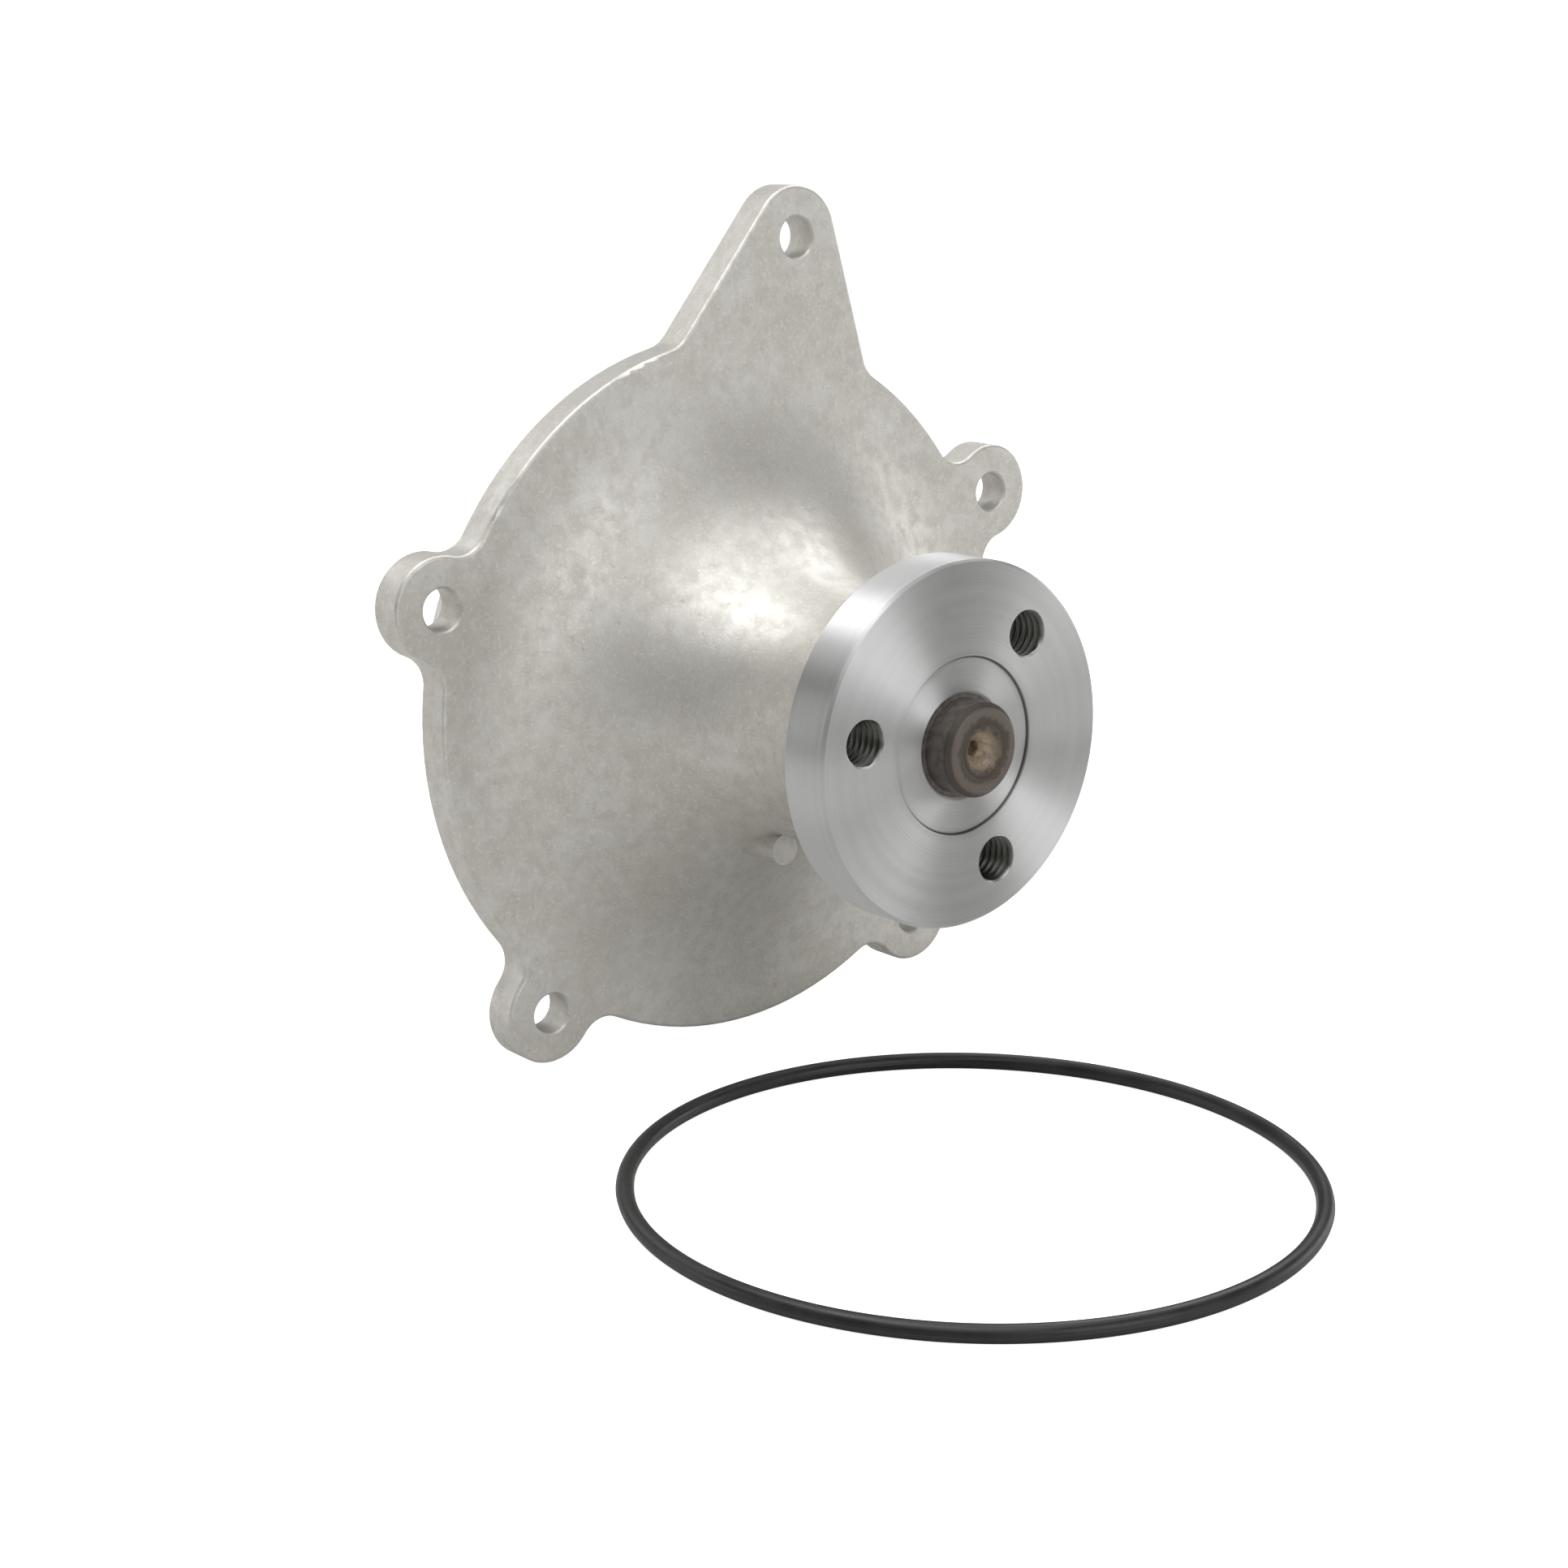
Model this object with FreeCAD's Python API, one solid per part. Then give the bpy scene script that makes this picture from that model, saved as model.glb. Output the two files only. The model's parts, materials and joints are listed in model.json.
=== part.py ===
import FreeCAD, Part
import math
import os

# Engine water pump, in millimetres.
# The origin is where the shaft axis meets the mounting face. +Y points back into the engine, so the
# pulley flange faces -Y. +Z is up, towards the pointed ear, and +X is to the right seen from the front.

V = FreeCAD.Vector
AXIS = V(0, 1, 0)
ORIGIN = V(0, 0, 0)

# Mounting plate and ears
BODY_R = 57.2
PLATE_T = 5.8
EAR_R = 8.2
EAR_HOLE_R = 3.3
EAR_CHAMFER = 0.3
TOP_EAR = (12.3, 72.4)
EARS = {
    "right_upper": (56.8, 27.7),
    "left_upper": (-56.5, 19.6),
    "left_lower": (-38.4, -47.7),
    "right_lower": (39.4, -46.2),
}
TOP_LEFT_ROOT_DEG = 101.5      # where the flanks of the pointed ear run into the round plate
TOP_RIGHT_ROOT_DEG = 61.0
TOP_INSIDE_R = 34.3
EAR_FILLET = 5.0
PLATE_EDGE = 0.6

# Bell flare and bearing neck
FLARE_R = 53.0
NECK_R = 19.0
FLARE_END = -39.8
NECK_FRONT = -48.2
NECK_CHAMFER = 0.8

# Spigot that enters the engine, and its O-ring groove
SPIGOT_R = 50.6
SPIGOT_L = 11.0
SPIGOT_WALL = 5.1
SPIGOT_CHAMFER = 1.0
GROOVE_FRONT = 3.4
GROOVE_W = 3.6
GROOVE_DEPTH = 2.25

# Hollow back of the bell, with the seal boss in its middle
SEAL_BOSS_R = 23.0
SEAL_BOSS_REAR = 3.0
POCKET_FLOOR = -1.5
POCKET_DEEP = -18.0
RIB_COUNT = 5
RIB_T = 4.0
RIB_REAR = -1.5
RIB_FIRST_DEG = 22.0

# Bearing, drain chamber and seal bores in the housing
BEARING_R = 15.0
BEARING_FRONT = -47.6
BEARING_L = 38.9
BEARING_EDGE = 0.5
CHAMBER_R = 13.5
SEAL_BORE_R = 18.25
SEAL_BORE_FRONT = -3.0

# Drain boss beside the neck, and the passage from the chamber to it
DRAIN_DEG = -114.0
DRAIN_RADIUS = 22.8
DRAIN_BOSS_R = 2.5
DRAIN_BOSS_FRONT = -28.8
DRAIN_BOSS_REAR = -12.0
DRAIN_HOLE_R = 1.3
DRAIN_CROSS_R = 1.1
DRAIN_PAD_R = 4.4
DRAIN_PAD_FRONT = -22.0
DRAIN_TURN = -5.9
DRAIN_REAR = -3.9
DRAIN_END_WALL = 2.0
DRAIN_EXIT_R = 1.0
DRAIN_EXIT_Y = -25.4

# Shaft
SHAFT_R = 7.95
NOSE_R = 7.2
NOSE_STEP = -58.5
SHAFT_FRONT = -63.6
SHAFT_REAR = 27.5
NOSE_CHAMFER = 0.9
TAIL_CHAMFER = 0.8
CENTRE_R = 3.2
CENTRE_DEPTH = 2.6
PILOT_R = 1.2
PILOT_DEPTH = 6.0

# Pulley flange
HUB_R = 28.0
HUB_FACE = -59.4
HUB_T = 8.7
HUB_CHAMFER = 0.4
RECESS_R = 13.6
RECESS_DEPTH = 0.5
HUB_BACK_R = 12.5
HUB_BACK_L = 1.4
HUB_BORE_CHAMFER = 0.4
PULLEY_PCD = 40.0
PULLEY_HOLES = 3
PULLEY_FIRST_DEG = 50.8
THREAD_R = 3.4
THREAD_CHAMFER = 0.3

# Rolling elements
FIT_GAP = 0.02
RACE_R = 11.2
BALL_R = 2.778
BALL_Y = -16.5
BALL_COUNT = 8
GROOVE_BOTTOM_R = 6.85
ROLLER_R = 2.0
ROLLER_L = 8.0
ROLLER_Y = -38.5
ROLLER_COUNT = 10
ROLLER_SIDE_GAP = 0.15
CAGE_IN_R = 8.7
CAGE_OUT_R = 10.9
CAGE_L = 10.6
CAGE_GAP = 0.08

# Lip seals of the bearing
LIP_T = 1.8
LIP_INSET = 0.2
LIP_SEAT_R = 12.9
LIP_GAP = 0.05
LIP_EDGE_T = 0.4
LIP_WEB_T = 0.8
LIP_WEB_IN = 1.0
LIP_WEB_OUT = 2.0
LIP_BODY_IN = 2.4

# Drip ring between bearing and face seal
SLINGER_R = 12.3
SLINGER_FRONT = -7.6
SLINGER_DISC_T = 0.9
SLINGER_L = 2.4
SLINGER_HUB_R = 9.4

# Face seal
CASE_T = 0.5
CASE_FRONT = -2.4
CASE_LIP_R = 20.8
CASE_HOLE_R = 9.6
BELLOWS_IN_R = 10.2
BELLOWS_TUBE_R = 11.4
BELLOWS_FOOT_R = 17.5
BELLOWS_FOOT_T = 1.0
BELLOWS_HEAD_R = 14.4
BELLOWS_HEAD_T = 1.0
SPRING_R = 13.0
SPRING_WIRE_R = 0.55
SPRING_HALF_TURNS = 5
CARBON_BACK = 5.0
CARBON_IN_R = 10.6
CARBON_OUT_R = 13.2
CARBON_HOLDER_R = 14.4
CARBON_HOLDER_T = 0.6
CARBON_HOLDER_L = 2.8
SEAL_FACE_Y = 9.4
SEAT_IN_R = 9.8
SEAT_OUT_R = 15.4
SEAT_T = 3.2
BOOT_R = 16.4
BOOT_BACK_T = 1.0
BOOT_INSIDE_DROP = 0.6
BOOT_OUTSIDE_DROP = 1.2

# Impeller
IMPELLER_FRONT = 13.6
IMPELLER_R = 40.0
DISC_T = 2.5
IMPELLER_HUB_R = 14.5
INSERT_R = 11.0
IMPELLER_REAR = 27.0
VANE_COUNT = 7
VANE_T = 2.2
VANE_IN_R = 16.5
VANE_SWEEP_DEG = 42.0
VANE_MIDDLE_DEG = 25.0
VANE_TIP_REAR = 23.5
VANE_SINK = 0.5
RELIEF_R = 1.6
RELIEF_RADIUS = 19.5
RELIEF_DEG = 17.0

# Loose O-ring for the spigot groove, lying in front at the level of the plate's lowest point
O_RING_WIRE_R = 1.325
O_RING_INSIDE_R = 48.0
O_RING_X = -20.5
O_RING_Y = -83.8


def at(radius, degrees, y=0.0):
    """Point at a radius and angle around the shaft axis, seen from the front."""
    angle = math.radians(degrees)
    return V(radius * math.cos(angle), y, radius * math.sin(angle))


def disc(radius, y_front, y_rear, x=0.0, z=0.0):
    """Round bar along the shaft direction."""
    return Part.makeCylinder(radius, y_rear - y_front, V(x, y_front, z), AXIS)


def tube(inner, outer, y_front, y_rear):
    return disc(outer, y_front, y_rear).cut(disc(inner, y_front - 1, y_rear + 1))


def cone(r_front, r_rear, y_front, y_rear, x=0.0, z=0.0):
    return Part.makeCone(r_front, r_rear, y_rear - y_front, V(x, y_front, z), AXIS)


def turned(points):
    """Solid of revolution about the shaft axis from (radius, y) points."""
    corners = [V(r, y, 0) for r, y in points]
    wire = Part.makePolygon(corners + corners[:1])
    return Part.Face(wire).revolve(ORIGIN, AXIS, 360)


def flare_arc(r_out, y_out, r_in, y_in):
    """Quarter ellipse that leaves the plate flat and meets the neck parallel to the shaft."""
    centre = V(r_out, y_in, 0)
    half_r = r_out - r_in
    half_y = y_out - y_in
    if half_y >= half_r:
        ellipse = Part.Ellipse(V(r_out, y_out, 0), V(r_in, y_in, 0), centre)
    else:
        ellipse = Part.Ellipse(V(r_in, y_in, 0), V(r_out, y_out, 0), centre)
    first = ellipse.parameter(V(r_out, y_out, 0))
    last = ellipse.parameter(V(r_in, y_in, 0))
    low, high = min(first, last), max(first, last)
    if high - low > math.pi:
        low, high = high, low + 2 * math.pi
    return Part.ArcOfEllipse(ellipse, low, high).toShape()


def bell_solid(r_out, y_out, r_in, y_in, y_front, y_back):
    """Bell of revolution: flare arc from the plate, then a straight neck up to its front end."""
    arc = flare_arc(r_out, y_out, r_in, y_in)
    lines = [
        Part.makeLine(V(r_in, y_in, 0), V(r_in, y_front, 0)),
        Part.makeLine(V(r_in, y_front, 0), V(0, y_front, 0)),
        Part.makeLine(V(0, y_front, 0), V(0, y_back, 0)),
        Part.makeLine(V(0, y_back, 0), V(r_out, y_back, 0)),
        Part.makeLine(V(r_out, y_back, 0), V(r_out, y_out, 0)),
    ]
    wire = Part.Wire(Part.__sortEdges__([arc] + lines))
    return Part.Face(wire).revolve(ORIGIN, AXIS, 360)


def prism(points, y_front, y_rear):
    """Straight block from (x, z) outline points."""
    corners = [V(x, y_front, z) for x, z in points]
    wire = Part.makePolygon(corners + corners[:1])
    return Part.Face(wire).extrude(V(0, y_rear - y_front, 0))


def tangent_point(centre, radius, outside, side):
    """Where a line from an outside point touches a circle; side is +1 or -1."""
    dx = outside.x - centre.x
    dz = outside.z - centre.z
    reach = math.hypot(dx, dz)
    angle = math.atan2(dz, dx) + side * math.acos(radius / reach)
    return centre.x + radius * math.cos(angle), centre.z + radius * math.sin(angle)


def pointed_ear():
    """Long ear whose straight flanks run from its rounded tip into the round plate."""
    tip = V(TOP_EAR[0], 0, TOP_EAR[1])
    left_root = at(BODY_R, TOP_LEFT_ROOT_DEG)
    right_root = at(BODY_R, TOP_RIGHT_ROOT_DEG)
    left = tangent_point(tip, EAR_R, left_root, -1)
    right = tangent_point(tip, EAR_R, right_root, 1)
    inner_left = at(TOP_INSIDE_R, TOP_LEFT_ROOT_DEG)
    inner_right = at(TOP_INSIDE_R, TOP_RIGHT_ROOT_DEG)
    outline = [
        (inner_left.x, inner_left.z),
        (left_root.x, left_root.z),
        left,
        right,
        (right_root.x, right_root.z),
        (inner_right.x, inner_right.z),
    ]
    return prism(outline, -PLATE_T, 0)


def plate():
    solid = disc(BODY_R, -PLATE_T, 0).fuse(pointed_ear())
    for x, z in list(EARS.values()) + [TOP_EAR]:
        solid = solid.fuse(disc(EAR_R, -PLATE_T, 0, x, z))
    solid = solid.removeSplitter()
    corners = [edge for edge in solid.Edges if is_inner_corner(edge)]
    return solid.makeFillet(EAR_FILLET, corners)


def is_inner_corner(edge):
    """Straight edge through the plate where an ear meets the round rim."""
    if not isinstance(edge.Curve, Part.Line):
        return False
    start = edge.Vertexes[0].Point
    end = edge.Vertexes[-1].Point
    along = abs(start.y - end.y) > PLATE_T * 0.9
    near_rim = abs(math.hypot(start.x, start.z) - BODY_R) < 0.2
    return along and near_rim


def round_front_edge(solid):
    """Small round along the front edge of the plate's outline."""
    edges = []
    for edge in solid.Edges:
        middle = edge.valueAt((edge.FirstParameter + edge.LastParameter) / 2)
        ends = [vertex.Point for vertex in edge.Vertexes]
        flat = all(abs(point.y + PLATE_T) < 1e-4 for point in ends + [middle])
        if flat and math.hypot(middle.x, middle.z) > BODY_R - 0.1:
            edges.append(edge)
    return solid.makeFillet(PLATE_EDGE, edges)


def ear_hole(x, z):
    hole = disc(EAR_HOLE_R, -PLATE_T - 1, 1, x, z)
    wide = EAR_HOLE_R + EAR_CHAMFER
    front = cone(wide, EAR_HOLE_R, -PLATE_T, -PLATE_T + EAR_CHAMFER, x, z)
    rear = cone(EAR_HOLE_R, wide, -EAR_CHAMFER, 0, x, z)
    return hole.fuse([front, rear])


def drain_boss():
    place = at(DRAIN_RADIUS, DRAIN_DEG)
    boss = disc(DRAIN_BOSS_R, DRAIN_BOSS_FRONT, DRAIN_BOSS_REAR, place.x, place.z)
    pad = disc(DRAIN_PAD_R, DRAIN_PAD_FRONT, RIB_REAR, place.x, place.z)
    return boss, pad


def drain_passage():
    """Passage from the drain chamber along the boss, which lets a leak out at the boss's underside."""
    place = at(DRAIN_RADIUS, DRAIN_DEG)
    along = disc(DRAIN_HOLE_R, DRAIN_BOSS_FRONT + DRAIN_END_WALL, DRAIN_REAR, place.x, place.z)
    start = at(CHAMBER_R - 1, DRAIN_DEG, DRAIN_TURN)
    length = DRAIN_RADIUS - CHAMBER_R + 1
    across = Part.makeCylinder(DRAIN_CROSS_R, length, start, at(1, DRAIN_DEG))
    inside = V(place.x, DRAIN_EXIT_Y, place.z)
    way_out = Part.makeCylinder(DRAIN_EXIT_R, DRAIN_BOSS_R + 1, inside, V(0, 0, -1))
    return along.fuse([across, way_out])


def ribs():
    """Radial webs that the hollow back leaves standing."""
    inside = SEAL_BOSS_R - 1
    length = SPIGOT_R - inside
    depth = RIB_REAR - POCKET_DEEP + 1
    blocks = []
    for index in range(RIB_COUNT):
        block = Part.makeBox(length, depth, RIB_T, V(inside, POCKET_DEEP - 1, -RIB_T / 2))
        block.rotate(ORIGIN, AXIS, RIB_FIRST_DEG + index * 360.0 / RIB_COUNT)
        blocks.append(block)
    return blocks


def rear_pocket(pad):
    """Hollow between the seal boss and the bell's wall, open to the rear."""
    inner = SPIGOT_R - SPIGOT_WALL
    bell = bell_solid(inner, POCKET_FLOOR, SEAL_BOSS_R, POCKET_DEEP, POCKET_DEEP - 1, SPIGOT_L + 1)
    front_trim = disc(inner + 1, POCKET_DEEP - 2, POCKET_DEEP)
    boss = disc(SEAL_BOSS_R, POCKET_DEEP - 2, SEAL_BOSS_REAR)
    return bell.cut([front_trim, boss, pad] + ribs())


def housing():
    casting = round_front_edge(plate())
    bell = bell_solid(FLARE_R, -PLATE_T, NECK_R, FLARE_END, NECK_FRONT, -PLATE_T + 1)
    boss, pad = drain_boss()
    casting = casting.fuse([bell, boss, disc(SPIGOT_R, -1, SPIGOT_L)])
    casting = casting.cut(rear_pocket(pad))
    rear_bore = BEARING_FRONT + BEARING_L
    cuts = [
        disc(BEARING_R, NECK_FRONT - 1, rear_bore),
        disc(CHAMBER_R, rear_bore - 1, SEAL_BORE_FRONT + 1),
        disc(SEAL_BORE_R, SEAL_BORE_FRONT, SEAL_BOSS_REAR + 1),
        tube(SPIGOT_R - GROOVE_DEPTH, SPIGOT_R + 1, GROOVE_FRONT, GROOVE_FRONT + GROOVE_W),
        turned([
            (SPIGOT_R - SPIGOT_CHAMFER, SPIGOT_L + 0.01),
            (SPIGOT_R + 1, SPIGOT_L + 0.01),
            (SPIGOT_R + 1, SPIGOT_L - SPIGOT_CHAMFER - 1),
        ]),
        turned([
            (NECK_R - NECK_CHAMFER, NECK_FRONT - 0.01),
            (NECK_R + 1, NECK_FRONT - 0.01),
            (NECK_R + 1, NECK_FRONT + NECK_CHAMFER + 1),
        ]),
        cone(BEARING_R + BEARING_EDGE, BEARING_R, NECK_FRONT, NECK_FRONT + BEARING_EDGE),
        drain_passage(),
    ]
    cuts += [ear_hole(x, z) for x, z in list(EARS.values()) + [TOP_EAR]]
    return casting.cut(cuts).removeSplitter()


def bearing_outer_ring():
    rear = BEARING_FRONT + BEARING_L
    ring = tube(RACE_R, BEARING_R, BEARING_FRONT, rear)
    ring = ring.cut(turned([
        (BEARING_R - BEARING_EDGE, BEARING_FRONT - 0.01),
        (BEARING_R + 1, BEARING_FRONT - 0.01),
        (BEARING_R + 1, BEARING_FRONT + BEARING_EDGE + 1),
    ]))
    ring = ring.cut(turned([
        (BEARING_R - BEARING_EDGE, rear + 0.01),
        (BEARING_R + 1, rear + 0.01),
        (BEARING_R + 1, rear - BEARING_EDGE - 1),
    ]))
    seat_depth = LIP_T + LIP_INSET
    ring = ring.cut(disc(LIP_SEAT_R, BEARING_FRONT - 1, BEARING_FRONT + seat_depth))
    ring = ring.cut(disc(LIP_SEAT_R, rear - seat_depth, rear + 1))
    ball_centre_r = GROOVE_BOTTOM_R + FIT_GAP + BALL_R
    ring = ring.cut(Part.makeTorus(ball_centre_r, BALL_R + FIT_GAP, V(0, BALL_Y, 0), AXIS))
    roller_race = SHAFT_R + 2 * ROLLER_R + 2 * FIT_GAP
    half = ROLLER_L / 2 + ROLLER_SIDE_GAP
    return ring.cut(disc(roller_race, ROLLER_Y - half, ROLLER_Y + half))


def lip_seal(y_front):
    """Rubber-covered shield with a lip that runs close to the shaft."""
    y_rear = y_front + LIP_T
    middle = (y_front + y_rear) / 2
    return turned([
        (SHAFT_R + LIP_GAP, middle - LIP_EDGE_T / 2),
        (SHAFT_R + LIP_GAP, middle + LIP_EDGE_T / 2),
        (SHAFT_R + LIP_WEB_IN, middle + LIP_WEB_T / 2),
        (SHAFT_R + LIP_WEB_OUT, middle + LIP_WEB_T / 2),
        (SHAFT_R + LIP_BODY_IN, y_rear),
        (LIP_SEAT_R, y_rear),
        (LIP_SEAT_R, y_front),
        (SHAFT_R + LIP_BODY_IN, y_front),
        (SHAFT_R + LIP_WEB_OUT, middle - LIP_WEB_T / 2),
        (SHAFT_R + LIP_WEB_IN, middle - LIP_WEB_T / 2),
    ])


def row_places(count, radius, y):
    return [at(radius, index * 360.0 / count, y) for index in range(count)]


def ball_places():
    return row_places(BALL_COUNT, GROOVE_BOTTOM_R + FIT_GAP + BALL_R, BALL_Y)


def roller_places():
    return row_places(ROLLER_COUNT, SHAFT_R + FIT_GAP + ROLLER_R, ROLLER_Y)


def ball_cage():
    cage = tube(CAGE_IN_R, CAGE_OUT_R, BALL_Y - CAGE_L / 2, BALL_Y + CAGE_L / 2)
    depth = CAGE_OUT_R - CAGE_IN_R + 2
    pockets = []
    for index in range(BALL_COUNT):
        degrees = index * 360.0 / BALL_COUNT
        start = at(CAGE_IN_R - 1, degrees, BALL_Y)
        pockets.append(Part.makeCylinder(BALL_R + CAGE_GAP, depth, start, at(1, degrees)))
    return cage.cut(pockets)


def roller_cage():
    cage = tube(CAGE_IN_R, CAGE_OUT_R, ROLLER_Y - CAGE_L / 2, ROLLER_Y + CAGE_L / 2)
    radius = ROLLER_R + CAGE_GAP
    half = ROLLER_L / 2 + CAGE_GAP
    windows = [disc(radius, ROLLER_Y - half, ROLLER_Y + half, p.x, p.z) for p in roller_places()]
    return cage.cut(windows)


def roller(place):
    return disc(ROLLER_R, ROLLER_Y - ROLLER_L / 2, ROLLER_Y + ROLLER_L / 2, place.x, place.z)


def shaft():
    bar = turned([
        (0, SHAFT_FRONT),
        (NOSE_R - NOSE_CHAMFER, SHAFT_FRONT),
        (NOSE_R, SHAFT_FRONT + NOSE_CHAMFER),
        (NOSE_R, NOSE_STEP),
        (SHAFT_R, NOSE_STEP),
        (SHAFT_R, SHAFT_REAR - TAIL_CHAMFER),
        (SHAFT_R - TAIL_CHAMFER, SHAFT_REAR),
        (0, SHAFT_REAR),
    ])
    groove = Part.makeTorus(GROOVE_BOTTOM_R + FIT_GAP + BALL_R, BALL_R + FIT_GAP, V(0, BALL_Y, 0), AXIS)
    front_centre = cone(CENTRE_R, PILOT_R, SHAFT_FRONT, SHAFT_FRONT + CENTRE_DEPTH)
    front_pilot = disc(PILOT_R, SHAFT_FRONT, SHAFT_FRONT + PILOT_DEPTH)
    rear_centre = cone(PILOT_R, CENTRE_R, SHAFT_REAR - CENTRE_DEPTH, SHAFT_REAR)
    rear_pilot = disc(PILOT_R, SHAFT_REAR - PILOT_DEPTH, SHAFT_REAR)
    return bar.cut([groove, front_centre, front_pilot, rear_centre, rear_pilot])


def hub_flange():
    rear = HUB_FACE + HUB_T
    recess_floor = HUB_FACE + RECESS_DEPTH
    body = turned([
        (SHAFT_R + HUB_BORE_CHAMFER, recess_floor),
        (RECESS_R, recess_floor),
        (RECESS_R, HUB_FACE),
        (HUB_R - HUB_CHAMFER, HUB_FACE),
        (HUB_R, HUB_FACE + HUB_CHAMFER),
        (HUB_R, rear - HUB_CHAMFER),
        (HUB_R - HUB_CHAMFER, rear),
        (HUB_BACK_R, rear),
        (HUB_BACK_R, rear + HUB_BACK_L),
        (SHAFT_R, rear + HUB_BACK_L),
        (SHAFT_R, recess_floor + HUB_BORE_CHAMFER),
    ])
    cuts = []
    for index in range(PULLEY_HOLES):
        place = at(PULLEY_PCD / 2, PULLEY_FIRST_DEG + index * 360.0 / PULLEY_HOLES)
        cuts.append(disc(THREAD_R, HUB_FACE - 1, rear + 1, place.x, place.z))
        wide = THREAD_R + THREAD_CHAMFER
        cuts.append(cone(wide, THREAD_R, HUB_FACE, HUB_FACE + THREAD_CHAMFER, place.x, place.z))
    return body.cut(cuts)


def slinger():
    rear = SLINGER_FRONT + SLINGER_L
    return turned([
        (SHAFT_R, SLINGER_FRONT),
        (SLINGER_R, SLINGER_FRONT),
        (SLINGER_R, SLINGER_FRONT + SLINGER_DISC_T),
        (SLINGER_HUB_R, SLINGER_FRONT + SLINGER_DISC_T),
        (SLINGER_HUB_R, rear),
        (SHAFT_R, rear),
    ])


def seal_case():
    """Thin pressed cup with a floor and a turned-out lip behind the housing's seal boss."""
    lip_rear = SEAL_BOSS_REAR + CASE_T
    inner = SEAL_BORE_R - CASE_T
    return turned([
        (CASE_HOLE_R, CASE_FRONT),
        (SEAL_BORE_R, CASE_FRONT),
        (SEAL_BORE_R, SEAL_BOSS_REAR),
        (CASE_LIP_R, SEAL_BOSS_REAR),
        (CASE_LIP_R, lip_rear),
        (inner, lip_rear),
        (inner, CASE_FRONT + CASE_T),
        (CASE_HOLE_R, CASE_FRONT + CASE_T),
    ])


def seal_bellows():
    foot_front = CASE_FRONT + CASE_T
    foot_rear = foot_front + BELLOWS_FOOT_T
    head_front = CARBON_BACK - BELLOWS_HEAD_T
    return turned([
        (BELLOWS_IN_R, foot_front),
        (BELLOWS_FOOT_R, foot_front),
        (BELLOWS_FOOT_R, foot_rear),
        (BELLOWS_TUBE_R, foot_rear),
        (BELLOWS_TUBE_R, head_front),
        (BELLOWS_HEAD_R, head_front),
        (BELLOWS_HEAD_R, CARBON_BACK),
        (BELLOWS_IN_R, CARBON_BACK),
    ])


def seal_spring():
    """Coil of half turns, each an arc in its own slightly tilted plane, so they join smoothly."""
    front = CASE_FRONT + CASE_T + BELLOWS_FOOT_T + SPRING_WIRE_R
    rear = CARBON_BACK - BELLOWS_HEAD_T - SPRING_WIRE_R
    rise = (rear - front) / SPRING_HALF_TURNS
    coils = []
    for index in range(SPRING_HALF_TURNS):
        side = 1 if index % 2 == 0 else -1
        start = V(side * SPRING_R, front + index * rise, 0)
        end = V(-side * SPRING_R, front + (index + 1) * rise, 0)
        section = Part.Face(Part.Wire(Part.makeCircle(SPRING_WIRE_R, start, V(0, 0, 1))))
        turn_axis = (end - start).cross(V(0, 0, side))
        coils.append(section.revolve((start + end) * 0.5, turn_axis, 180))
    return coils[0].fuse(coils[1:])


def seal_carbon_ring():
    return tube(CARBON_IN_R, CARBON_OUT_R, CARBON_BACK + CARBON_HOLDER_T, SEAL_FACE_Y)


def seal_carbon_holder():
    shell_rear = CARBON_BACK + CARBON_HOLDER_L
    floor = tube(CARBON_IN_R, CARBON_HOLDER_R, CARBON_BACK, CARBON_BACK + CARBON_HOLDER_T)
    wall = tube(CARBON_OUT_R, CARBON_HOLDER_R, CARBON_BACK, shell_rear)
    return floor.fuse(wall).removeSplitter()


def seal_mating_ring():
    return tube(SEAT_IN_R, SEAT_OUT_R, SEAL_FACE_Y, SEAL_FACE_Y + SEAT_T)


def seal_mating_boot():
    seat_rear = SEAL_FACE_Y + SEAT_T
    return turned([
        (SHAFT_R, SEAL_FACE_Y + BOOT_INSIDE_DROP),
        (SEAT_IN_R, SEAL_FACE_Y + BOOT_INSIDE_DROP),
        (SEAT_IN_R, seat_rear),
        (SEAT_OUT_R, seat_rear),
        (SEAT_OUT_R, SEAL_FACE_Y + BOOT_OUTSIDE_DROP),
        (BOOT_R, SEAL_FACE_Y + BOOT_OUTSIDE_DROP),
        (BOOT_R, seat_rear + BOOT_BACK_T),
        (SHAFT_R, seat_rear + BOOT_BACK_T),
    ])


def vane():
    """One swept vane: a band between two arcs, from the eye to the rim."""
    start = at(VANE_IN_R, 0)
    end = at(IMPELLER_R, -VANE_SWEEP_DEG)
    middle = at((VANE_IN_R + IMPELLER_R) / 2, -VANE_MIDDLE_DEG)
    y = IMPELLER_FRONT + DISC_T - VANE_SINK
    path = [V(p.x, y, p.z) for p in (start, middle, end)]
    side = VANE_T / 2
    circle = Part.Circle(path[0], path[1], path[2])
    centre = circle.Center
    ring = []
    for offset in (-side, side):
        shifted = [centre + (p - centre) * ((circle.Radius + offset) / circle.Radius) for p in path]
        ring.append(shifted)
    inner = Part.Arc(ring[0][0], ring[0][1], ring[0][2]).toShape()
    outer = Part.Arc(ring[1][0], ring[1][1], ring[1][2]).toShape()
    ends = [Part.makeLine(ring[0][0], ring[1][0]), Part.makeLine(ring[0][2], ring[1][2])]
    wire = Part.Wire(Part.__sortEdges__([inner, outer] + ends))
    height = IMPELLER_REAR - y
    return Part.Face(wire).extrude(V(0, height, 0))


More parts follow.
